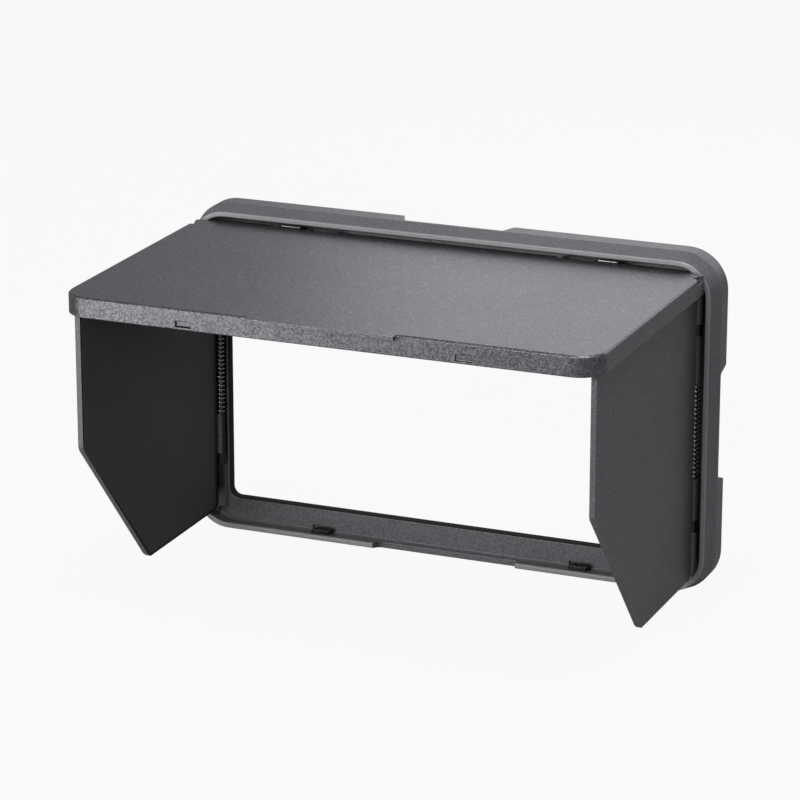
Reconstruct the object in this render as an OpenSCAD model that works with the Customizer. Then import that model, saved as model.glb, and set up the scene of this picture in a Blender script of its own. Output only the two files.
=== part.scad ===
// Fold-out sun hood that clips over the front of a small field monitor.
// X runs right, Y runs from the front rim back to the monitor, Z is up.
// The origin is the middle of the plane the monitor's face seats on.
// Everything below is drawn from the front rim plane and moved back at the end.

/* [Frame] */
// frame width, mm
frame_w = 157; // [140:0.5:180]
// frame height, mm
frame_h = 97; // [85:0.1:110]
// frame depth, front rim to rear edge, mm
frame_d = 11.5; // [10:0.1:20]
// outer corner radius, mm
corner_r = 11.3; // [6:0.1:16]
// how far the front rim draws in, mm
rim_inset = 1.3; // [0.2:0.1:2]
// wall thickness, mm
wall = 1.6; // [1.2:0.1:2.4]
// pocket wall at the rear, mm
pocket_wall = 1.5; // [1.2:0.1:2.4]
// depth of the front recess, mm
recess = 6.2; // [5.5:0.1:9]
// bevel at the foot of the recess wall, mm
foot = 0.7; // [0.3:0.1:0.9]
// flange thickness, mm
flange_t = 2; // [1.6:0.1:3]
// frame side to window side, mm
side_band = 9.3; // [8:0.1:16]
// frame edge to window edge, top and bottom, mm
end_band = 8.5; // [7:0.1:14]
// window corner radius, mm
window_r = 3; // [1:0.1:6]
// foam strip thickness, mm
foam_t = 0.6; // [0.3:0.1:1.5]
// foam strip width above and below the window, mm
foam_w = 3; // [2:0.1:5]

/* [Notches] */
// depth of the rear finger notches, mm
notch_d = 4.9; // [3:0.1:5]
// half length of a notch floor, mm
notch_in = 14.4; // [8:0.1:20]
// half length of a notch mouth, mm
notch_out = 16.8; // [10:0.1:24]
// half length of the front pull cutout, mm
pull_x = 21.7; // [15:0.1:30]
// depth of the front pull cutout, mm
pull_d = 3.9; // [2:0.1:5]

/* [Top flap] */
// frame side to flap side, mm
top_gap = 3.2; // [3:0.1:6]
// outer face below the frame's top, mm
top_drop = 4.1; // [3.6:0.1:6]
// room at the free edge when the flap is shut, mm
top_free = 0.4; // [0.2:0.1:2]
// rear edge, behind the front rim plane, mm
top_rear = 1.6; // [0.5:0.1:2]
// rim height, mm
rim_h = 5.7; // [4:0.1:8]
// plate and rim thickness, mm
top_t = 1.2; // [1:0.1:2.5]
// front corner radius, outside, mm
top_r = 7.4; // [4:0.1:12]
// front corner radius, inside the rim, mm
top_ri = 5.4; // [3:0.1:6]
// half length of the pull lip, mm
lip_x = 20.8; // [12:0.1:28]
// reach of the pull lip, mm
lip_d = 1.8; // [1:0.1:3]

/* [Side flaps] */
// frame side to the inner face of an open flap, mm
side_in = 6.7; // [6:0.1:10]
// panel thickness, mm
side_t = 1.5; // [1.2:0.1:2.4]
// front edge, ahead of the front rim plane, mm
side_y = 79.3; // [50:0.1:84]
// top edge below the top flap's outer face, mm
side_drop = 5; // [4.5:0.1:8]
// bottom edge above the frame's underside, mm
side_lift = 5.6; // [4:0.1:9]
// lining thickness, mm
lining_t = 0.2; // [0.1:0.05:0.5]
// height where the slanted edge starts, mm
side_cut_z = 0.2; // [-20:0.1:20]
// depth where the slanted edge ends, mm
side_cut_y = 40.9; // [20:0.1:60]

/* [Hinges] */
// hinge pin radius, mm
pin_r = 0.75; // [0.5:0.05:1.2]
// running clearance of the knuckles, mm
run_gap = 0.05; // [0.02:0.01:0.1]
// knuckle radius, mm
knuckle_r = 1.45; // [1.2:0.05:2]
// frame side to the left pin, mm
left_in = 7; // [5:0.1:9]
// left pin depth, mm
left_py = 5.75; // [2:0.05:8]
// frame side to the right pin, mm
right_in = 5.8; // [5:0.1:9]
// right pin depth, mm
right_py = 2.55; // [2:0.05:8]
// top pin below the top flap's outer face, mm
top_pd = 2.75; // [2.5:0.05:4]
// top pin depth, mm
top_py = 2.6; // [2:0.1:5]
// half width of a top knuckle, mm
top_kw = 3.3; // [2:0.1:6]
// thickness of a top lug, mm
lug_t = 1.6; // [1:0.1:3]
// room for a top spring between its lugs, mm
coil_room = 7.8; // [6:0.1:12]
// spring coil radius, mm
coil_r = 1.25; // [1.1:0.05:1.6]
// spring wire radius, mm
wire_r = 0.25; // [0.15:0.05:0.3]
// pitch of a curl, mm
pitch = 1.28; // [1:0.02:2]

/* [Hidden] */
w2 = frame_w/2;
h2 = frame_h/2;
seat = recess + flange_t + foam_t;
window_x = w2 - side_band;
window_z = h2 - end_band;
cx = w2 - corner_r;
cz = h2 - corner_r;
rf = corner_r - rim_inset;
ri = rf - wall;
rb = corner_r - wall - 0.1;
rp = corner_r - pocket_wall;
flange_y = recess + flange_t;
in_front = h2 - rim_inset - wall;
in_back = h2 - wall - 0.1;
top_w = frame_w - 2*top_gap;
top_z = h2 - top_drop;
top_pz = top_z - top_pd;
top_y = top_pz + in_front - top_free - top_py;
side_x = w2 - side_in;
side_top = top_z - side_drop;
side_low = side_lift - h2;
left_px = w2 - left_in;
right_px = w2 - right_in;
low_boss = [6.1 - h2, 18.7 - h2];
low_collar = [low_boss[1], low_boss[1] + 3.35];
low_knuckle = [low_collar[1] + run_gap, low_collar[1] + 11.85];
high_boss = [h2 - 18.7, h2 - 11.1];
high_collar = [high_boss[0] - 3.35, high_boss[0]];
high_knuckle = [high_collar[0] - 13.85, high_collar[0] - run_gap];
spring_z = low_knuckle[1] + 0.8;
turns = floor((high_knuckle[0] - spring_z - 0.4)/pitch) + 0.25;
top_turns = floor((coil_room - 1)/pitch) + 0.25;
top_hx = 0.3*frame_w;
top_l1 = top_kw + 0.1;
top_l2 = top_l1 + lug_t;
top_l3 = top_l2 + coil_room;
top_l4 = top_l3 + lug_t;
top_coil = top_hx - top_l3 + 0.3;
top_leg = top_coil + pitch*(top_turns - 1/16);
hook_x = frame_w/4;
rib_x = 0.29*frame_w;
rib_z = 0.29*frame_h;
leg = 2*wire_r;
trough_d = flange_y - 0.65;
tab_w = 0.9;
lining_in = 2.9;
corner_in = 4.7;

module placed() translate([0, -seat, 0]) children();
module both() { children(); mirror([1, 0, 0]) children(); }

// a profile of (outward, depth) points swept round a rounded rectangle
module swept(pts, a, b) {
  for (s = [0, 1]) mirror([s, 0, 0]) {
    translate([a, 0, -b]) linear_extrude(2*b) polygon(pts);
    for (t = [0, 1]) mirror([0, 0, t])
      translate([a, 0, -b]) rotate([-90, 0, 0])
        rotate_extrude(angle = 90, $fn = 96) polygon(pts);
  }
  for (t = [0, 1]) mirror([0, 0, t])
    translate([a, 0, b]) rotate([0, -90, 0]) linear_extrude(2*a) polygon(pts);
}

// a rounded rectangle in X and Z, from depth y0 to y1
module slab(x, z, r, y0, y1) {
  translate([0, y1, 0]) rotate([90, 0, 0]) linear_extrude(y1 - y0) union() {
    square([2*x - 2*r, 2*z], center = true);
    square([2*x, 2*z - 2*r], center = true);
    for (i = [-1, 1], j = [-1, 1]) translate([i*(x - r), j*(z - r)]) circle(r, $fn = 64);
  }
}

// the finger notch, drawn along X with its mouth at the rear edge
module notch() {
  f = frame_d - notch_d;
  s = [for (k = [0:6]) let (u = k/6, v = (1 - cos(180*u))/2)
    [notch_in + (notch_out - notch_in)*u, f + notch_d*v]];
  m = [for (k = [6:-1:0]) [-s[k][0], s[k][1]]];
  polygon(concat(m, s, [[notch_out + 0.3, frame_d + 1], [-notch_out - 0.3, frame_d + 1]]));
}

module boss(px, py, z) {
  // a pin boss that stands on the flange
  translate([px, py, z[0]]) cylinder(r = 1.9, h = z[1] - z[0], $fn = 48);
  translate([px - 1.9, py, z[0]]) cube([3.8, recess - py + 0.3, z[1] - z[0]]);
  // a web out to the side wall
  translate([px, max(py - 0.6, 3.2), z[0]])
    cube([cx + rb + 0.1 - px, recess - max(py - 0.6, 3.2) + 0.3, z[1] - z[0]]);
}

module trough(px, py) {
  // room behind the knuckles and the spring of the deep hinge
  translate([px - 1.75, py - 1.75, low_boss[1]])
    cube([3.5, trough_d - py + 1.75, high_boss[0] - low_boss[1]]);
}

module top_lug(x0, x1) {
  difference() {
    union() {
      translate([x0, top_py, top_pz]) rotate([0, 90, 0]) cylinder(r = 1.7, h = x1 - x0, $fn = 48);
      translate([x0, top_py, top_pz - 1.7]) cube([x1 - x0, recess - top_py + 0.3, 3.4]);
    }
    translate([x0 - 1, top_py, top_pz]) rotate([0, 90, 0])
      cylinder(r = pin_r, h = x1 - x0 + 2, $fn = 32);
  }
}

module frame_shape() {
  difference() {
    union() {
      swept([[ri + 0.3, 0], [rf - 0.3, 0], [rf, 0.3], [corner_r, 5.8],
        [corner_r, frame_d - 0.3], [corner_r - 0.3, frame_d], [rp + 0.2, frame_d],
        [rp, frame_d - 0.2], [rp, flange_y], [rb - 1, flange_y], [rb - 1, recess],
        [rb - foot, recess], [rb - (rb - ri)*foot/(recess - 0.3), recess - foot],
        [ri, 0.3]], cx, cz);
      difference() {
        slab(w2 - corner_r + rb - 0.5, h2 - corner_r + rb - 0.5, rb - 0.5, recess, flange_y);
        slab(window_x, window_z, window_r, recess - 1, flange_y + 1);
        trough(-left_px, left_py);
      }
      // bosses for the side flap pins
      for (z = [low_boss, high_boss]) {
        mirror([1, 0, 0]) boss(left_px, left_py, z);
        boss(right_px, right_py, z);
      }
      // lugs for the top flap pins
      both() {
        top_lug(top_hx + top_l1, top_hx + top_l2);
        top_lug(top_hx - top_l2, top_hx - top_l1);
        top_lug(top_hx - top_l4, top_hx - top_l3);
      }
      // snap ribs that hold the monitor in the pocket
      both() for (z = [-rib_z, rib_z]) translate([w2 - pocket_wall - 0.4, frame_d - 1.3, z - 6])
        cube([0.6, 0.7, 12]);
      for (t = [0, 1]) mirror([0, 0, t]) for (x = [-rib_x, rib_x])
        translate([x - 8, frame_d - 1.3, h2 - pocket_wall - 0.4]) cube([16, 0.7, 0.6]);
    }
    // pin bores
    for (q = [[-left_px, left_py], [right_px, right_py]]) translate([q[0], q[1], low_boss[0] - 1])
      cylinder(r = pin_r, h = high_boss[1] - low_boss[0] + 2, $fn = 32);
    // finger notches in the rear edge, top, bottom and both sides
    for (t = [0, 1]) mirror([0, 0, t]) translate([0, 0, h2 - pocket_wall - 0.5])
      linear_extrude(4) notch();
    both() translate([w2 - pocket_wall - 0.5, 0, 0]) rotate([0, 90, 0]) linear_extrude(4) notch();
    // pull cutout in the lower front rim
    translate([0, 0, -h2 - 1]) linear_extrude(wall + 3) polygon([[-pull_x, -1], [pull_x, -1],
      [pull_x, 0], [pull_x - 0.5, pull_d - 0.8], [pull_x - 1.4, pull_d],
      [-pull_x + 1.4, pull_d], [-pull_x + 0.5, pull_d - 0.8], [-pull_x, 0]]);
    // latch pockets in the lower flange, each with a slit right through
    both() {
      translate([hook_x - 3.7, recess - 1, -in_back]) cube([7.4, 2.2, 1.9]);
      translate([hook_x - 1.6, recess, -in_back + 0.35]) cube([3.6, 4, 0.8]);
    }
  }
}

module gasket_shape() {
  difference() {
    union() {
      slab(window_x + 1.6, window_z + foam_w, window_r + 1.6, flange_y, seat);
      slab(window_x, window_z, window_r, recess + 0.3, seat);
    }
    slab(window_x - 0.5, window_z - 0.5, window_r - 0.5, 0, seat + 1);
  }
}

module hook_shape() {
  k = (in_back - in_front)/(recess - 0.3);
  translate([hook_x + 2.6, 0, 0]) rotate([90, 0, -90]) linear_extrude(5.2)
    polygon([for (p = [[recess + 1, -in_back], [recess, -in_back], [2.4, -in_front - k*2.1],
      [2.4, -in_front + 0.5], [3.3, -in_front + 0.5], [3.9, -in_front + 0.05],
      [recess + 1, -in_front - 0.05]]) [-p[0], p[1]]]);
}

module top_plan() {
  // plan of the plate, inside its front and side rims
  union() {
    translate([-top_w/2 + 0.5, -top_y + top_r]) square([top_w - 1, top_y - top_r - 0.8]);
    translate([-top_w/2 + top_r, -top_y + 0.5]) square([top_w - 2*top_r, top_r]);
    for (s = [-1, 1]) translate([s*(top_w/2 - top_r), -top_y + top_r])
      circle(top_r - 0.52, $fn = 96);
    translate([-top_w/2 + corner_in, -2]) square([top_w - 2*corner_in, 2 + top_rear]);
  }
}

// outward and height points of the rim, from the chamfer to the lower edge
rim_pts = [[top_r - 0.5, top_z], [top_r, top_z - 0.5], [top_r, top_z - rim_h + 0.2],
  [top_r - 0.2, top_z - rim_h], [top_r - top_t, top_z - rim_h], [top_r - top_t, top_z - top_t],
  [top_r - 0.5, top_z - top_t]];

// the rear corners stay clear of the frame's round corners
module rear_relief() {
  both() translate([top_w/2 - 1.6, -5.5, top_z - 1.7]) rotate([0, 0, -18]) cube([6, 9, 6]);
}

module top_plate_shape() {
  difference() {
    union() {
      translate([0, 0, top_z - top_t]) linear_extrude(top_t) top_plan();
      // knuckles on the two top pins
      both() {
        translate([top_hx - top_kw, top_py, top_pz]) rotate([0, 90, 0])
          cylinder(r = 1.5, h = 2*top_kw, $fn = 48);
        translate([top_hx - top_kw, 0.2, top_pz + 0.4])
          cube([2*top_kw, top_py + 0.6, top_z - top_pz - 0.4]);
      }
    }
    rear_relief();
    both() {
      // room for the frame's lugs and the spring
      translate([top_hx + top_kw, 0.3, top_pz - 4]) cube([lug_t + 0.3, 4, 8]);
      translate([top_hx - top_l4 - 0.2, 0.3, top_pz - 4]) cube([top_l4 - top_kw + 0.2, 4, 8]);
      // bore
      translate([top_hx - 3*top_kw, top_py, top_pz]) rotate([0, 90, 0])
        cylinder(r = pin_r + run_gap, h = 6*top_kw, $fn = 32);
    }
  }
  // tabs that the springs push on
  both() translate([top_leg - 0.6, -0.6, top_pz + leg]) cube([1.2, 2.3, 1.3]);
}

module side_rim_shape() {
  difference() {
    translate([top_w/2 - top_r, -0.8, 0]) rotate([90, 0, 0])
      linear_extrude(top_y - top_r - 0.8) polygon(rim_pts);
    rear_relief();
  }
}

module front_rim_shape() {
  a = top_w/2 - top_r;
  difference() {
    union() {
      translate([a, -top_y + top_r, 0]) rotate([90, 0, -90]) linear_extrude(2*a) polygon(rim_pts);
      // pull lip along the front edge
      translate([-lip_x, -top_y - lip_d, top_z - 1.2]) cube([2*lip_x, lip_d + 0.5, 1.2]);
    }
    // latch slots
    both() translate([hook_x - 2.2, -top_y - 1, top_z - 5.1]) cube([4.4, 4, 1.8]);
  }
}

// round outside and tighter inside, so that it clears the side flap's corner
module rim_corner_shape() {
  q = top_r - top_t - top_ri;
  translate([top_w/2 - top_r, -top_y + top_r, 0]) rotate([0, 0, -90]) difference() {
    rotate_extrude(angle = 90, $fn = 96) polygon([[0, top_z - rim_h],
      [top_r - 0.2, top_z - rim_h], [top_r, top_z - rim_h + 0.2], [top_r, top_z - 0.5],
      [top_r - 0.5, top_z], [0, top_z]]);
    translate([0, 0, top_z - top_t]) cylinder(r = top_r - 0.5, h = top_t + 1, $fn = 96);
    translate([0, 0, top_z - rim_h - 1]) linear_extrude(rim_h + 2) union() {
      translate([-1, -1]) square([q + 1, q + top_ri + 1]);
      translate([-1, -1]) square([q + top_ri + 1, q + 1]);
      translate([q, q]) circle(top_ri, $fn = 96);
    }
  }
}

module side_outline(rear) {
  // drawn in depth and height, rounded by small arcs
  difference() {
    polygon([[-side_y, side_top], [rear, side_top], [rear, side_low + 1.5],
      [rear - 0.45, side_low + 0.45], [rear - 1.5, side_low],
      [-side_cut_y + 0.4, side_low], [-side_cut_y - 1.4, side_low + 1.2],
      [-side_y + 0.6, side_cut_z - 0.6], [-side_y, side_cut_z + 0.6]]);
    translate([-side_y - 1, side_top - 1.5]) difference() {
      square([2.5, 3]);
      translate([2.5, 0]) circle(1.5, $fn = 32);
    }
  }
}

// a side flap on the right hand side of the middle, for a pin at px, py
module side_flap_shape(px, py, tab_x) {
  rear = py - 2.25;
  difference() {
    union() {
      translate([side_x, 0, 0]) rotate([90, 0, 90]) linear_extrude(side_t) side_outline(rear);
      for (z = [low_knuckle, high_knuckle]) {
        translate([px, py, z[0]]) cylinder(r = knuckle_r, h = z[1] - z[0], $fn = 48);
        translate([side_x, rear - 1, z[0]]) cube([1.3, py - rear + 1, z[1] - z[0]]);
      }
      // tab that the spring pushes on
      translate([tab_x, rear - 0.8, spring_z + pitch*(turns - 1/16) - 0.8])
        cube([tab_w, py - rear - 0.05, high_knuckle[0] - spring_z - pitch*(turns - 1/16) + 1]);
    }
    translate([px, py, -50]) cylinder(r = pin_r + run_gap, h = 100, $fn = 32);
  }
}

module side_lining_shape(py) {
  translate([side_x - lining_t, 0, 0]) rotate([90, 0, 90]) linear_extrude(lining_t)
    polygon([[-side_y + 1.2, side_top - 1.2], [py - 4.2, side_top - 1.2],
      [py - 4.2, side_low + 1.2], [-side_cut_y, side_low + 1.2], [-side_y + 1.2, side_cut_z - 0.6]]);
}

module pin_shape(px, py) {
  translate([px, py, low_boss[0] + 0.6])
    cylinder(r = pin_r, h = high_boss[1] - low_boss[0] - 1.2, $fn = 32);
}

module collar_shape(px, py, z) {
  translate([px, py, z[0]]) difference() {
    cylinder(r = 1.6, h = z[1] - z[0], $fn = 48);
    translate([0, 0, -1]) cylinder(r = pin_r, h = z[1] - z[0] + 2, $fn = 32);
  }
}

// rings of a left handed coil on Z: a straight leg, n curls, a straight leg
function ring(c, t, r) = [for (k = [0:5]) let (b = cross(t, r))
  c + wire_r*(cos(60*k)*r + sin(60*k)*b)];
function coil_points(n, leg0, leg1) = let (m = round(8*n)) concat(
  ring([coil_r, leg0, 0], [0, -1, 0], [1, 0, 0]),
  [for (i = [0:m]) let (a = -45*i, k = (i == 0 || i == m) ? 0 : pitch/(2*PI*coil_r),
    t = [sin(a), -cos(a), k]/norm([1, k]),
    z = i == m ? pitch*(i - 0.5)/8 : i == 0 ? pitch*0.5/8 : pitch*i/8)
    each ring([coil_r*cos(a), coil_r*sin(a), z], t, [cos(a), sin(a), 0])],
  ring([-leg1, -coil_r, pitch*(m - 0.5)/8], [-1, 0, 0], [0, -1, 0]));
module coil(n, leg0, leg1) {
  p0 = coil_points(n, leg0, leg1);
  z0 = pitch*0.5/8;
  p = [for (i = [0:len(p0) - 1]) i < 6 ? p0[i] + [0, 0, z0] : p0[i]];
  m = len(p)/6;
  polyhedron(p, concat([[5, 4, 3, 2, 1, 0]],
    [for (i = [0:m - 2], k = [0:5]) each [
      [6*i + k, 6*i + (k + 1)%6, 6*i + 6 + (k + 1)%6],
      [6*i + k, 6*i + 6 + (k + 1)%6, 6*i + 6 + k]]],
    [[for (k = [0:5]) 6*(m - 1) + k]]));
}
echo(gap_between_curls = pitch*cos(atan(pitch/(2*PI*coil_r))) - 2*wire_r);

module top_pin_shape() {
  translate([top_hx - top_l4, top_py, top_pz]) rotate([0, 90, 0])
    cylinder(r = pin_r, h = top_l4 + top_l2, $fn = 32);
}

module top_spring_shape() {
  // axis along X, its first leg runs back to the flange
  translate([top_coil, top_py, top_pz]) rotate([0, 90, 0])
    coil(top_turns, recess - top_py, leg);
}

module frame() color("#5c5d61") placed() frame_shape();
module window_gasket() color("#141416") placed() gasket_shape();
module latch_hook_right() color("#1c1c1f") placed() hook_shape();
module latch_hook_left() color("#1c1c1f") placed() mirror([1, 0, 0]) hook_shape();
module top_flap() color("#66676b") placed() top_plate_shape();
module top_rim_right() color("#626367") placed() side_rim_shape();
module top_rim_left() color("#626367") placed() mirror([1, 0, 0]) side_rim_shape();
module top_rim_front() color("#626367") placed() front_rim_shape();
module top_rim_corner_right() color("#626367") placed() rim_corner_shape();
module top_rim_corner_left() color("#626367") placed() mirror([1, 0, 0]) rim_corner_shape();
module top_flap_lining() color("#161618") placed()
  translate([0, 0, top_z - top_t - lining_t]) linear_extrude(lining_t) union() {
    translate([-top_w/2 + lining_in, -top_y + top_r]) square([top_w - 2*lining_in, top_y - top_r - 1]);
    translate([-top_w/2 + top_r, -top_y + lining_in]) square([top_w - 2*top_r, top_r]);
    for (s = [-1, 1]) translate([s*(top_w/2 - top_r), -top_y + top_r])
      circle(top_r - lining_in, $fn = 64);
  }
module top_pin_right() color("#b9bbbe") placed() top_pin_shape();
module top_pin_left() color("#b9bbbe") placed() mirror([1, 0, 0]) top_pin_shape();
module top_spring_right() color("#9a9ca0") placed() top_spring_shape();
module top_spring_left() color("#9a9ca0") placed() mirror([1, 0, 0]) top_spring_shape();
module left_flap() color("#505156") placed() mirror([1, 0, 0])
  side_flap_shape(left_px, left_py, left_px + leg);
module left_flap_lining() color("#161618") placed() mirror([1, 0, 0]) side_lining_shape(left_py);
module left_hinge_pin() color("#b9bbbe") placed() mirror([1, 0, 0]) pin_shape(left_px, left_py);
module left_spring() color("#9a9ca0") placed()
  translate([-left_px, left_py, spring_z]) coil(turns, trough_d - left_py, leg);
module left_collar_lower() color("#1c1c1f") placed() mirror([1, 0, 0])
  collar_shape(left_px, left_py, low_collar);
module left_collar_upper() color("#1c1c1f") placed() mirror([1, 0, 0])
  collar_shape(left_px, left_py, high_collar);
module right_flap() color("#505156") placed() side_flap_shape(right_px, right_py, right_px - leg - tab_w);
module right_flap_lining() color("#161618") placed() side_lining_shape(right_py);
module right_hinge_pin() color("#b9bbbe") placed() pin_shape(right_px, right_py);
module right_spring() color("#9a9ca0") placed()
  translate([right_px, right_py, spring_z]) coil(turns, recess - right_py, leg);
module right_collar_lower() color("#1c1c1f") placed() collar_shape(right_px, right_py, low_collar);
module right_collar_upper() color("#1c1c1f") placed() collar_shape(right_px, right_py, high_collar);

frame();
window_gasket();
latch_hook_left();
latch_hook_right();
top_flap();
top_rim_front();
top_rim_left();
top_rim_right();
top_rim_corner_left();
top_rim_corner_right();
top_flap_lining();
top_pin_left();
top_pin_right();
top_spring_left();
top_spring_right();
left_flap();
left_flap_lining();
left_hinge_pin();
left_spring();
left_collar_lower();
left_collar_upper();
right_flap();
right_flap_lining();
right_hinge_pin();
right_spring();
right_collar_lower();
right_collar_upper();
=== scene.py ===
"""Looks of the fold-out sun hood: finishes, springs, linings, foam, trim, light and camera."""
import math

import bmesh
import bpy
from mathutils import Matrix, Vector


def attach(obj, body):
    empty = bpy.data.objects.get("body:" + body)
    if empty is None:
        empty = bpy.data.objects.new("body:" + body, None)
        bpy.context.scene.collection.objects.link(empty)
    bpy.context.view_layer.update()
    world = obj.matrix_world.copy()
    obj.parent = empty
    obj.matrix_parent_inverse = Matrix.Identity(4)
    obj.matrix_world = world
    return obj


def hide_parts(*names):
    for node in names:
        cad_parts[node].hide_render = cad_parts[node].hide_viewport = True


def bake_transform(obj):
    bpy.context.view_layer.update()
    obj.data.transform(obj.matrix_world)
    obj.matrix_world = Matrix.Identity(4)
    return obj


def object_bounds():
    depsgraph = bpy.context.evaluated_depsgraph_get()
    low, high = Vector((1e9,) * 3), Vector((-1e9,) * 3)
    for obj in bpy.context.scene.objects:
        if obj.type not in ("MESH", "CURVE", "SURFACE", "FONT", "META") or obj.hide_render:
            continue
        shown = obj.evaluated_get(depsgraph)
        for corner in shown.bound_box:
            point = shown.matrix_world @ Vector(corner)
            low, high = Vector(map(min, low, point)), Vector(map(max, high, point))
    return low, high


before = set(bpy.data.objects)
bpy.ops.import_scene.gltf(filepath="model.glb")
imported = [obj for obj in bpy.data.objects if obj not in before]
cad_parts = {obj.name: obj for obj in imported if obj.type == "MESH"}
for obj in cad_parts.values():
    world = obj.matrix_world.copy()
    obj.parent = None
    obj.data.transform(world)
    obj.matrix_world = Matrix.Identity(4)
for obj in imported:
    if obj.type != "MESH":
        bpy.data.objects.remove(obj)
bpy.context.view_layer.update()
MM = 0.001
SEAT = 8.8          # the CAD is drawn from the front rim plane, 8.8 mm ahead of the seat


def at(x, y, z):
    """a point in millimetres from the front rim plane, as metres in the row frame"""
    return Vector((x * MM, (y - SEAT) * MM, z * MM))


# ---------------------------------------------------------------- camera
AZ, EL = math.radians(22.634), math.radians(17.65)
AWAY, ASIDE, RAISED = 1052.579, -12.135, -0.21      # mm along the camera's own axes
back = Vector((math.sin(AZ) * math.cos(EL), -math.cos(AZ) * math.cos(EL), math.sin(EL)))
right = Vector((math.cos(AZ), math.sin(AZ), 0))
up = back.cross(right)
place = back * AWAY + right * ASIDE + up * RAISED
cam_data = bpy.data.cameras.new("camera")
cam_data.lens = 169.882
cam_data.sensor_width = 36
cam_data.clip_start, cam_data.clip_end = 0.05, 20
cam = bpy.data.objects.new("camera", cam_data)
cam.matrix_world = Matrix.Translation(at(*place)) @ Matrix(
    (right, up, back)).transposed().to_4x4()
bpy.context.scene.collection.objects.link(cam)
bpy.context.scene.camera = cam


# ---------------------------------------------------------------- node helpers
class Nodes:
    """short names for building a material's node tree"""

    def __init__(self, name):
        self.mat = bpy.data.materials.new(name)
        self.mat.use_nodes = True
        self.t = self.mat.node_tree
        self.t.nodes.clear()
        self.out = self.t.nodes.new("ShaderNodeOutputMaterial")
        self.bsdf = self.t.nodes.new("ShaderNodeBsdfPrincipled")
        self.link(self.bsdf.outputs[0], self.out.inputs[0])
        self.coord = self.t.nodes.new("ShaderNodeTexCoord")

    def link(self, a, b):
        self.t.links.new(a, b)

    def put(self, node, **inputs):
        for key, value in inputs.items():
            socket = node.inputs[int(key[1:])] if key[0] == "i" and key[1:].isdigit() \
                else node.inputs[key.replace("_", " ")]
            if isinstance(value, bpy.types.NodeSocket):
                self.link(value, socket)
            else:
                socket.default_value = value
        return node

    def set(self, **inputs):
        self.put(self.bsdf, **inputs)

    def noise(self, scale, detail=2.0, rough=0.6, vec=None):
        n = self.put(self.t.nodes.new("ShaderNodeTexNoise"), Scale=scale, Detail=detail,
                     Roughness=rough)
        self.link(vec or self.coord.outputs["Object"], n.inputs["Vector"])
        return n.outputs["Fac"]

    def cells(self, scale):
        n = self.put(self.t.nodes.new("ShaderNodeTexVoronoi"), Scale=scale)
        self.link(self.coord.outputs["Object"], n.inputs["Vector"])
        s = self.t.nodes.new("ShaderNodeSeparateColor")
        self.link(n.outputs["Color"], s.inputs[0])
        return s.outputs[0]

    def span(self, value, a, b, lo=0.0, hi=1.0):
        n = self.t.nodes.new("ShaderNodeMapRange")
        return self.put(n, Value=value, From_Min=a, From_Max=b, To_Min=lo, To_Max=hi).outputs[0]

    def math(self, op, a, b=0.0, clamp=False):
        n = self.t.nodes.new("ShaderNodeMath")
        n.operation, n.use_clamp = op, clamp
        return self.put(n, i0=a, i1=b).outputs[0]

    def mix(self, fac, a, b):
        n = self.t.nodes.new("ShaderNodeMix")
        n.data_type = "RGBA"
        for key, value in ((0, fac), (6, a), (7, b)):
            if isinstance(value, bpy.types.NodeSocket):
                self.link(value, n.inputs[key])
            else:
                n.inputs[key].default_value = value
        return n.outputs[2]

    def axes(self, kind="Object"):
        s = self.t.nodes.new("ShaderNodeSeparateXYZ")
        self.link(self.coord.outputs[kind], s.inputs[0])
        return s.outputs

    def bump(self, height, strength, distance, normal=None):
        n = self.put(self.t.nodes.new("ShaderNodeBump"), Strength=strength, Distance=distance,
                     Height=height)
        if normal is not None:
            self.link(normal, n.inputs["Normal"])
        return n.outputs[0]

    def soft_edges(self, radius):
        """a rounded normal at the edges, and how far it turns there"""
        n = self.t.nodes.new("ShaderNodeBevel")
        n.samples = 6
        n.inputs["Radius"].default_value = radius
        g = self.t.nodes.new("ShaderNodeNewGeometry")
        d = self.t.nodes.new("ShaderNodeVectorMath")
        d.operation = "DOT_PRODUCT"
        self.link(n.outputs[0], d.inputs[0])
        self.link(g.outputs["True Normal"], d.inputs[1])
        return n.outputs[0], self.math("SUBTRACT", 1.0, d.outputs["Value"], True)


def grey(v, warm=0.0, blue=0.0):
    return (v * (1 + warm), v, v * (1 + blue), 1.0)


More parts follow.
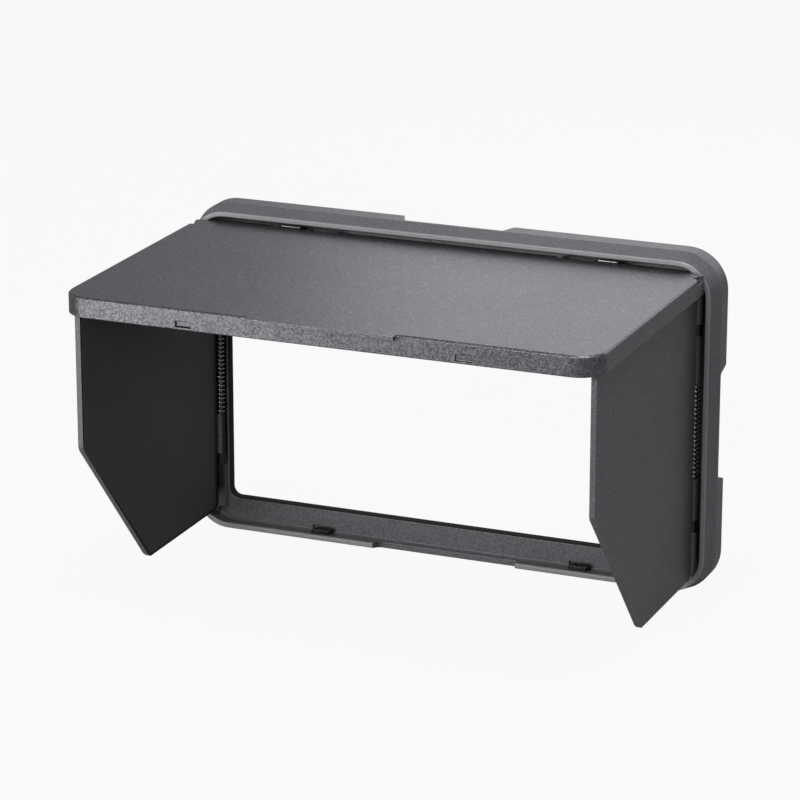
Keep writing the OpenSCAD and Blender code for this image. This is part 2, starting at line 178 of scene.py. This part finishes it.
def plastic(name, base, fleck, rough, metallic=0.0, edge_wear_and_rim_highlight=None, inner=None, edge=0.00022,
            level=0.5, shade=False):
    """dark moulded plastic with a metallic fleck, fine grain and lighter edges.
    inner = (axis index, sign) paints that side flat black; shade is for the frame alone and paints
    shade into its recess and a highlight on its front rim."""
    n = Nodes(name)
    grain = n.noise(2100, 2.0, 0.55)
    broad = n.noise(38, 2.0, 0.5)
    spark = n.span(n.cells(3300), 0.86, 0.98)
    tone = n.mix(n.span(grain, 0.36, 0.64), base[0], base[1])
    tone = n.mix(n.math("MULTIPLY", spark, 0.26), tone, fleck)
    tone = n.mix(n.span(broad, 0.35, 0.65, 0.0, 0.10), tone, grey(base[0][1] * 0.6))
    normal, turn = n.soft_edges(edge)
    worn = n.math("MULTIPLY", n.span(turn, 0.02, 0.30), n.span(n.noise(300), 0.30, 0.60, 0.35, 1.0))
    tone = n.mix(n.math("MULTIPLY", worn, 0.55), tone, edge_wear_and_rim_highlight or fleck)
    if shade:                    # painted shade: the recess beside the side flaps' hinges is darkened where shadow falls
        x, y, z = n.axes()[:3]
        ax, az = n.math("ABSOLUTE", x), n.math("ABSOLUTE", z)
        recess_shade = n.span(y, -0.0082, -0.0064)
        for part in (n.span(ax, 0.0694, 0.0704), n.span(ax, 0.0770, 0.0773, 1.0, 0.0),
                     n.span(az, 0.0360, 0.0410, 1.0, 0.0)):
            recess_shade = n.math("MULTIPLY", recess_shade, part)
        tone = n.mix(n.math("MULTIPLY", recess_shade, 0.93), tone, grey(0.004))
        front = n.span(y, -0.00872, -0.00845, 0.45, 0.0)    # painted highlight: the frame's front rim made lighter by position
        tone = n.mix(front, tone, edge_wear_and_rim_highlight)
    rr = n.span(grain, 0.25, 0.75, rough - 0.05, rough + 0.09)
    rr = n.math("SUBTRACT", rr, n.math("MULTIPLY", spark, 0.10))
    if inner is not None:
        side = n.axes("Normal")[inner[0]]
        mask = n.span(n.math("MULTIPLY", side, float(inner[1])), 0.35, 0.75)
        tone = n.mix(mask, tone, grey(0.022, 0, 0.05))
        rr = n.math("ADD", rr, n.math("MULTIPLY", mask, 0.12))
    n.set(Base_Color=tone, Roughness=rr, Metallic=metallic)
    n.bsdf.inputs["Specular IOR Level"].default_value = level
    hi = n.math("ADD", grain, n.math("MULTIPLY", spark, 0.4))
    n.set(Normal=n.bump(hi, 0.30, 0.00003, normal))
    return n.mat


M = {}
M["frame"] = plastic("frame_plastic", (grey(0.105, 0, 0.07), grey(0.160, 0, 0.07)),
                     grey(0.36, 0, 0.04), 0.40, 0.35, edge_wear_and_rim_highlight=grey(0.46), level=0.3, shade=True)
M["flap"] = plastic("flap_plastic", (grey(0.082, 0, 0.08), grey(0.200, 0, 0.08)),
                    grey(0.42, 0, 0.04), 0.34, 0.88, edge_wear_and_rim_highlight=grey(0.46), level=0.3)
M["left"] = plastic("left_flap_plastic", (grey(0.100, 0, 0.07), grey(0.150, 0, 0.07)),
                    grey(0.36, 0, 0.04), 0.42, 0.30, edge_wear_and_rim_highlight=grey(0.45), inner=(0, 1), level=0.3)
# painted shade: the right flap's copy is written about 14 percent darker than the left flap's
M["right"] = plastic("right_flap_plastic_shaded", (grey(0.085, 0, 0.07), grey(0.130, 0, 0.07)),
                     grey(0.34, 0, 0.04), 0.42, 0.30, edge_wear_and_rim_highlight=grey(0.45), inner=(0, -1), level=0.3)


def black_plastic():
    n = Nodes("black_plastic")
    g = n.noise(900, 3.0)
    normal, turn = n.soft_edges(0.00012)
    tone = n.mix(n.span(g, 0.3, 0.7), grey(0.006), grey(0.014))
    tone = n.mix(n.math("MULTIPLY", n.span(turn, 0.03, 0.3), 0.4), tone, grey(0.06))
    n.set(Base_Color=tone, Roughness=n.span(g, 0.3, 0.7, 0.24, 0.36),
          Normal=n.bump(g, 0.08, 0.00002, normal))
    return n.mat


def lining():
    n = Nodes("black_lining")
    nap = n.noise(2800, 4.0, 0.7)
    drift = n.noise(60, 2.0)
    tone = n.mix(n.span(nap, 0.32, 0.70), grey(0.0075, 0.03, 0.12), grey(0.026, 0.03, 0.14))
    tone = n.mix(n.span(drift, 0.35, 0.65, 0, 0.3), tone, grey(0.020, 0.10, 0.0))
    n.set(Base_Color=tone, Roughness=n.span(nap, 0.3, 0.7, 0.62, 0.86),
          Normal=n.bump(nap, 0.30, 0.00005))
    n.bsdf.inputs["Sheen Weight"].default_value = 0.10
    n.bsdf.inputs["Sheen Roughness"].default_value = 0.45
    return n.mat


def foam():
    n = Nodes("black_foam")
    cell = n.noise(1900, 4.0, 0.75)
    n.set(Base_Color=n.mix(n.span(cell, 0.3, 0.7), grey(0.004), grey(0.014)),
          Roughness=n.span(cell, 0.3, 0.7, 0.82, 0.97), Normal=n.bump(cell, 0.6, 0.00008))
    return n.mat


def steel(name, dark, light, rough, stretch):
    """drawn wire or rod: fine streaks along the draw"""
    n = Nodes(name)
    m = n.t.nodes.new("ShaderNodeMapping")
    n.link(n.coord.outputs["Object"], m.inputs[0])
    m.inputs["Scale"].default_value = stretch
    streak = n.noise(1500, 3.0, 0.6, m.outputs[0])
    n.set(Base_Color=n.mix(n.span(streak, 0.3, 0.7), grey(dark), grey(light)),
          Roughness=n.span(streak, 0.3, 0.7, rough - 0.05, rough + 0.10), Metallic=1.0,
          Normal=n.bump(streak, 0.15, 0.00002))
    return n.mat


M["black"] = black_plastic()
M["lining"] = lining()
M["foam"] = foam()
M["pin"] = steel("pin_steel", 0.12, 0.22, 0.34, (1, 1, 0.1))
M["wire"] = steel("spring_steel", 0.30, 0.52, 0.20, (1, 1, 1))
M["clip"] = steel("clip_steel", 0.50, 0.66, 0.30, (0.1, 1, 1))

CAD_LOOKS = {
    "frame": "frame",
    "top_flap": "flap", "top_rim_front": "flap", "top_rim_left": "flap",
    "top_rim_right": "flap", "top_rim_corner_left": "flap", "top_rim_corner_right": "flap",
    "left_flap": "left", "right_flap": "right",
    "latch_hook_left": "black", "latch_hook_right": "black",
    "left_collar_lower": "black", "left_collar_upper": "black",
    "right_collar_lower": "black", "right_collar_upper": "black",
    "top_pin_left": "pin", "top_pin_right": "pin",
    "left_hinge_pin": "pin", "right_hinge_pin": "pin",
}
for node, look in CAD_LOOKS.items():
    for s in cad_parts[node].material_slots:
        s.material = M[look]


# ---------------------------------------------------------------- mesh helpers
def piece(name, bm, look, smooth=True):
    mesh = bpy.data.meshes.new(name)
    bmesh.ops.recalc_face_normals(bm, faces=bm.faces[:])
    bm.to_mesh(mesh)
    bm.free()
    for p in mesh.polygons:
        p.use_smooth = smooth
    mesh.materials.append(M[look])
    o = bpy.data.objects.new(name, mesh)
    bpy.context.scene.collection.objects.link(o)
    return o


def tube(name, line, radius, look, sides=12):
    """a round wire along a list of points"""
    bm = bmesh.new()
    rings, ref = [], None
    for i, p in enumerate(line):
        t = (line[min(i + 1, len(line) - 1)] - line[max(i - 1, 0)]).normalized()
        if ref is None:
            ref = t.orthogonal().normalized()
        ref = (ref - t * ref.dot(t)).normalized()
        side = t.cross(ref)
        rings.append([bm.verts.new(p + radius * (math.cos(a) * ref + math.sin(a) * side))
                      for a in (2 * math.pi * k / sides for k in range(sides))])
    for a, b in zip(rings, rings[1:]):
        for k in range(sides):
            bm.faces.new((a[k], a[(k + 1) % sides], b[(k + 1) % sides], b[k]))
    bm.faces.new(rings[0])
    bm.faces.new(rings[-1][::-1])
    return piece(name, bm, look)


def shape_between(name, outline, place_fn, depth, look, step=0.04):
    """a thin sheet from an outline: its points go through place_fn(u, v, w), and its rim
    is rounded over by step"""
    bm = bmesh.new()
    n = len(outline)

    def inset(k):
        out = []
        for i in range(n):
            a, b, c = outline[i - 1], outline[i], outline[(i + 1) % n]
            d1 = Vector((b[0] - a[0], b[1] - a[1])).normalized()
            d2 = Vector((c[0] - b[0], c[1] - b[1])).normalized()
            nn = Vector((-(d1.y + d2.y), d1.x + d2.x))
            nn = nn.normalized() if nn.length > 1e-9 else Vector((-d1.y, d1.x))
            s = k / max(0.35, nn.dot(Vector((-d1.y, d1.x))))
            out.append((b[0] + nn.x * s, b[1] + nn.y * s))
        return out

    area = sum(outline[i - 1][0] * outline[i][1] - outline[i][0] * outline[i - 1][1]
               for i in range(n))
    sign = 1 if area > 0 else -1
    loops = []
    for k, w in ((0, 0), (0, depth - step), (step * 0.3, depth - step * 0.3), (step, depth)):
        loops.append([bm.verts.new(place_fn(u, v, w)) for u, v in inset(sign * k)])
    for a, b in zip(loops, loops[1:]):
        for i in range(n):
            bm.faces.new((a[i - 1], a[i], b[i], b[i - 1]))
    bm.faces.new(loops[0][::-1])
    bm.faces.new(loops[-1])
    return piece(name, bm, look, smooth=False)


def arc(cx, cy, r, a0, a1, n):
    return [(cx + r * math.cos(math.radians(a0 + (a1 - a0) * i / n)),
             cy + r * math.sin(math.radians(a0 + (a1 - a0) * i / n))) for i in range(n + 1)]


# ---------------------------------------------------------------- springs
W2, H2 = 78.5, 48.5
COIL_R, WIRE_R, PITCH = 1.25, 0.25, 1.28
LEFT_PX, LEFT_PY = W2 - 7.0, 5.75
RIGHT_PX, RIGHT_PY = W2 - 5.8, 2.55
SPRING_Z, TURNS = -13.8, 20.25
TOP_PZ, TOP_PY, TOP_COIL, TOP_TURNS = 41.65, 2.6, 34.6, 5.25
PER_TURN = 40


def helix(turns, leg0, leg1):
    """left handed coil on Z with a straight leg at each end"""
    z0 = PITCH * 0.5 / 8
    z1 = PITCH * (8 * turns - 0.5) / 8
    line = [Vector((COIL_R, leg0 * (1 - i / 6), z0)) for i in range(6)]
    m = int(round(PER_TURN * turns))
    for i in range(m + 1):
        a = -2 * math.pi * i / PER_TURN
        z = min(max(PITCH * i / PER_TURN, z0), z1)
        line.append(Vector((COIL_R * math.cos(a), COIL_R * math.sin(a), z)))
    line += [Vector((-leg1 * i / 4, -COIL_R, z1)) for i in range(1, 5)]
    return line


def side_spring(name, node, x, y, reach):
    line = [at(x + p.x, y + p.y, SPRING_Z + p.z) for p in helix(TURNS, reach, 2 * WIRE_R)]
    o = tube(name, line, WIRE_R * MM, "wire")
    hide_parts(node)
    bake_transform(o)
    return o


side_spring("coil_left", "left_spring", -LEFT_PX, LEFT_PY, 7.55 - LEFT_PY)
side_spring("coil_right", "right_spring", RIGHT_PX, RIGHT_PY, 6.2 - RIGHT_PY)
for sx, side in ((1, "right"), (-1, "left")):
    pts = [at(sx * (TOP_COIL + p.z), TOP_PY + p.y, TOP_PZ - p.x)
           for p in helix(TOP_TURNS, 6.2 - TOP_PY, 2 * WIRE_R)]
    spring = tube("coil_top_" + side, pts, WIRE_R * MM, "wire")
    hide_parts("top_spring_" + side)
    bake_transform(spring)

# ---------------------------------------------------------------- foam strip round the window
WX, WZ, WR = W2 - 9.3, H2 - 8.5, 3.0


def rounded(x, z, r, n=10):
    out = []
    for cx, cz, a in ((x - r, z - r, 0), (-x + r, z - r, 90),
                      (-x + r, -z + r, 180), (x - r, -z + r, 270)):
        out += arc(cx, cz, r, a, a + 90, n)
    return out


def ring_piece(name, sections, look):
    """closed ring: sections are (x, z, radius, depth) of rounded rectangles, joined in turn"""
    bm = bmesh.new()
    loops = [[bm.verts.new(at(u, y, v)) for u, v in rounded(x, z, r)] for x, z, r, y in sections]
    for a, b in zip(loops, loops[1:] + loops[:1]):
        n = len(a)
        for i in range(n):
            bm.faces.new((a[i - 1], a[i], b[i], b[i - 1]))
    return piece(name, bm, look)


q = 0.18            # half the rounding of the foam's rear edges
strip = ring_piece("foam_strip", [
    (WX - 0.5, WZ - 0.5, WR - 0.5, 6.5), (WX - 0.02, WZ - 0.02, WR, 6.5),
    (WX - 0.02, WZ - 0.02, WR, 8.2), (WX + 1.6, WZ + 3.0, WR + 1.6, 8.2),
    (WX + 1.6, WZ + 3.0, WR + 1.6, 8.8 - 2 * q),
    (WX + 1.6 - 0.3 * q, WZ + 3 - 0.3 * q, WR + 1.5, 8.8 - q),
    (WX + 1.6 - q, WZ + 3 - q, WR + 1.4, 8.8 - 0.3 * q),
    (WX + 1.6 - 2 * q, WZ + 3 - 2 * q, WR + 1.3, 8.8),
    (WX - 0.5 + 2 * q, WZ - 0.5 + 2 * q, WR - 0.2, 8.8),
    (WX - 0.5 + q, WZ - 0.5 + q, WR - 0.3, 8.8 - 0.3 * q),
    (WX - 0.5 + 0.3 * q, WZ - 0.5 + 0.3 * q, WR - 0.4, 8.8 - q),
    (WX - 0.5, WZ - 0.5, WR - 0.5, 8.8 - 2 * q),
], "foam")
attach(strip, "frame")
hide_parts("window_gasket")

# ---------------------------------------------------------------- linings
TOP_Z, TOP_T, LIN = 44.4, 1.2, 0.2
TOP_W2, TOP_Y, TOP_R = 75.3, 84.25, 7.4
SIDE_X, SIDE_TOP, SIDE_LOW = 71.8, 39.4, -42.9


def corner_rounded(poly, r, n=6):
    """the outline with each corner rounded"""
    out = []
    for i in range(len(poly)):
        a, b, c = (Vector(poly[i - 1]), Vector(poly[i]), Vector(poly[(i + 1) % len(poly)]))
        d1, d2 = (a - b).normalized(), (c - b).normalized()
        half = d1.angle(d2) / 2
        reach = r / math.tan(half)
        p, qv = b + d1 * reach, b + d2 * reach
        mid = b + (d1 + d2).normalized() * (r / math.sin(half))
        a0 = math.atan2((p - mid).y, (p - mid).x)
        a1 = math.atan2((qv - mid).y, (qv - mid).x)
        da = (a1 - a0 + math.pi) % (2 * math.pi) - math.pi
        out += [(mid.x + r * math.cos(a0 + da * k / n), mid.y + r * math.sin(a0 + da * k / n))
                for k in range(n + 1)]
    return out


def side_lining(name, node, flap, sx, py):
    poly = corner_rounded([(-79.3 + 0.7, SIDE_TOP - 1.2), (py - 4.2, SIDE_TOP - 1.2),
                           (py - 4.2, SIDE_LOW + 0.9), (-40.9, SIDE_LOW + 0.9),
                           (-79.3 + 0.7, 0.2 - 0.5)], 0.7)
    o = shape_between(name, poly, lambda u, v, w: at(sx * (SIDE_X - w), u, v), LIN,
                      "lining", step=0.06)
    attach(o, flap)
    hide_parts(node)
    return o


side_lining("left_inner_sheet", "left_flap_lining", "left_flap", -1, LEFT_PY)
side_lining("right_inner_sheet", "right_flap_lining", "right_flap", 1, RIGHT_PY)
k = 2.9             # margin of the lining inside the rim
top_poly = ([(TOP_W2 - k, -1.0), (-TOP_W2 + k, -1.0)]
            + arc(-TOP_W2 + TOP_R, -TOP_Y + TOP_R, TOP_R - k, 180, 270, 10)
            + arc(TOP_W2 - TOP_R, -TOP_Y + TOP_R, TOP_R - k, 270, 360, 10))
top_sheet = shape_between("top_inner_sheet", top_poly,
                          lambda u, v, w: at(u, v, TOP_Z - TOP_T - w), LIN,
                          "lining", step=0.06)
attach(top_sheet, "top_flap")
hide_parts("top_flap_lining")


# ---------------------------------------------------------------- small trim
def plate(name, x, y, z, sx, sy, sz, look, body, bevel, smooth=False):
    """a small plate with rounded edges, in millimetres, centred on x, y, z"""
    bm = bmesh.new()
    bmesh.ops.create_cube(bm, size=1.0)
    for v in bm.verts:
        v.co = at(x + v.co.x * sx, y + v.co.y * sy, z + v.co.z * sz)
    bmesh.ops.bevel(bm, geom=bm.edges[:], offset=bevel * MM, segments=3, profile=0.5,
                    affect="EDGES")
    o = piece(name, bm, look, smooth)
    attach(o, body)
    return o


for sx, side in ((1, "right"), (-1, "left")):
    # the tongue that shows in each slot of the front rim
    plate("slot_tongue_" + side, sx * 39.25, -TOP_Y + 0.85, TOP_Z - 4.2, 3.9, 0.55, 1.35,
          "flap", "top_flap", 0.12)
    # bright spring clip over each top hinge knuckle
    plate("hinge_clip_" + side, sx * 47.1, 2.45, TOP_Z - 0.02, 5.6, 1.5, 0.3,
          "clip", "top_flap", 0.08)

# ---------------------------------------------------------------- floor, light, world
def stage_material():
    """pale floor: plain white to the camera but for the object's shadow"""
    m = bpy.data.materials.new("pale_floor")
    m.use_nodes = True
    t = m.node_tree
    t.nodes.clear()

    def put(kind, op=None, **values):
        n = t.nodes.new(kind)
        if op:
            n.operation = op
        for key, value in values.items():
            socket = n.inputs[int(key[1:])]
            if isinstance(value, bpy.types.NodeSocket):
                t.links.new(value, socket)
            else:
                socket.default_value = value
        return n

    path = put("ShaderNodeLightPath")
    gloss = put("ShaderNodeMath", "MULTIPLY", i0=path.outputs["Is Glossy Ray"], i1=0.04).outputs[0]
    seen = put("ShaderNodeMath", "MAXIMUM", i0=path.outputs["Is Camera Ray"],
               i1=path.outputs["Is Transmission Ray"]).outputs[0]
    seen = put("ShaderNodeMath", "MAXIMUM", i0=seen, i1=gloss).outputs[0]
    share = put("ShaderNodeMath", "MULTIPLY", i0=seen, i1=0.93).outputs[0]
    diff = put("ShaderNodeBsdfDiffuse", i0=(0.34, 0.34, 0.34, 1)).outputs[0]
    glow = put("ShaderNodeEmission", i0=(1, 1, 1, 1), i1=1.0).outputs[0]
    both = put("ShaderNodeMixShader", i0=share, i1=diff, i2=glow).outputs[0]
    t.links.new(both, put("ShaderNodeOutputMaterial").inputs[0])
    return m


bm = bmesh.new()
bmesh.ops.create_grid(bm, x_segments=2, y_segments=2, size=6.0)
mesh = bpy.data.meshes.new("floor")
bm.to_mesh(mesh)
bm.free()
mesh.materials.append(stage_material())
floor = bpy.data.objects.new("floor", mesh)
floor.location = (0, 0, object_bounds()[0][2] - 0.0002)
bpy.context.scene.collection.objects.link(floor)

world = bpy.data.worlds.new("studio")
bpy.context.scene.world = world
world.use_nodes = True
wt = world.node_tree
wt.nodes.clear()
wout = wt.nodes.new("ShaderNodeOutputWorld")
soft = wt.nodes.new("ShaderNodeBackground")
soft.inputs["Color"].default_value = (0.93, 0.96, 1.0, 1)
soft.inputs["Strength"].default_value = 0.34
white = wt.nodes.new("ShaderNodeBackground")
white.inputs["Strength"].default_value = 1.0
wpath = wt.nodes.new("ShaderNodeLightPath")
wmix = wt.nodes.new("ShaderNodeMixShader")
wt.links.new(wpath.outputs["Is Camera Ray"], wmix.inputs[0])
wt.links.new(soft.outputs[0], wmix.inputs[1])
wt.links.new(white.outputs[0], wmix.inputs[2])
wt.links.new(wmix.outputs[0], wout.inputs[0])


def panel(name, where, aim, size, level):
    """a softbox whose own brightness is level"""
    data = bpy.data.lights.new(name, "AREA")
    data.shape = "RECTANGLE"
    data.size, data.size_y = size
    data.energy = level * math.pi * size[0] * size[1]
    o = bpy.data.objects.new(name, data)
    o.location = where
    o.rotation_euler = (Vector(aim) - Vector(where)).to_track_quat("-Z", "Y").to_euler()
    bpy.context.scene.collection.objects.link(o)


panel("key_left", (-0.24, -0.38, 0.030), (-0.01, -0.05, 0.02), (0.28, 0.16), 4.0)
panel("front_high", (-0.06, -0.80, 0.40), (0, -0.02, -0.03), (0.36, 0.26), 15.0)
panel("top_back", (0.08, 0.50, 0.27), (0.0, -0.04, 0.05), (0.74, 0.34), 1.0)
panel("top_high", (0.12, -0.10, 0.50), (0.03, -0.05, 0.04), (0.26, 0.26), 5.0)

bpy.context.scene.view_settings.view_transform = "Standard"
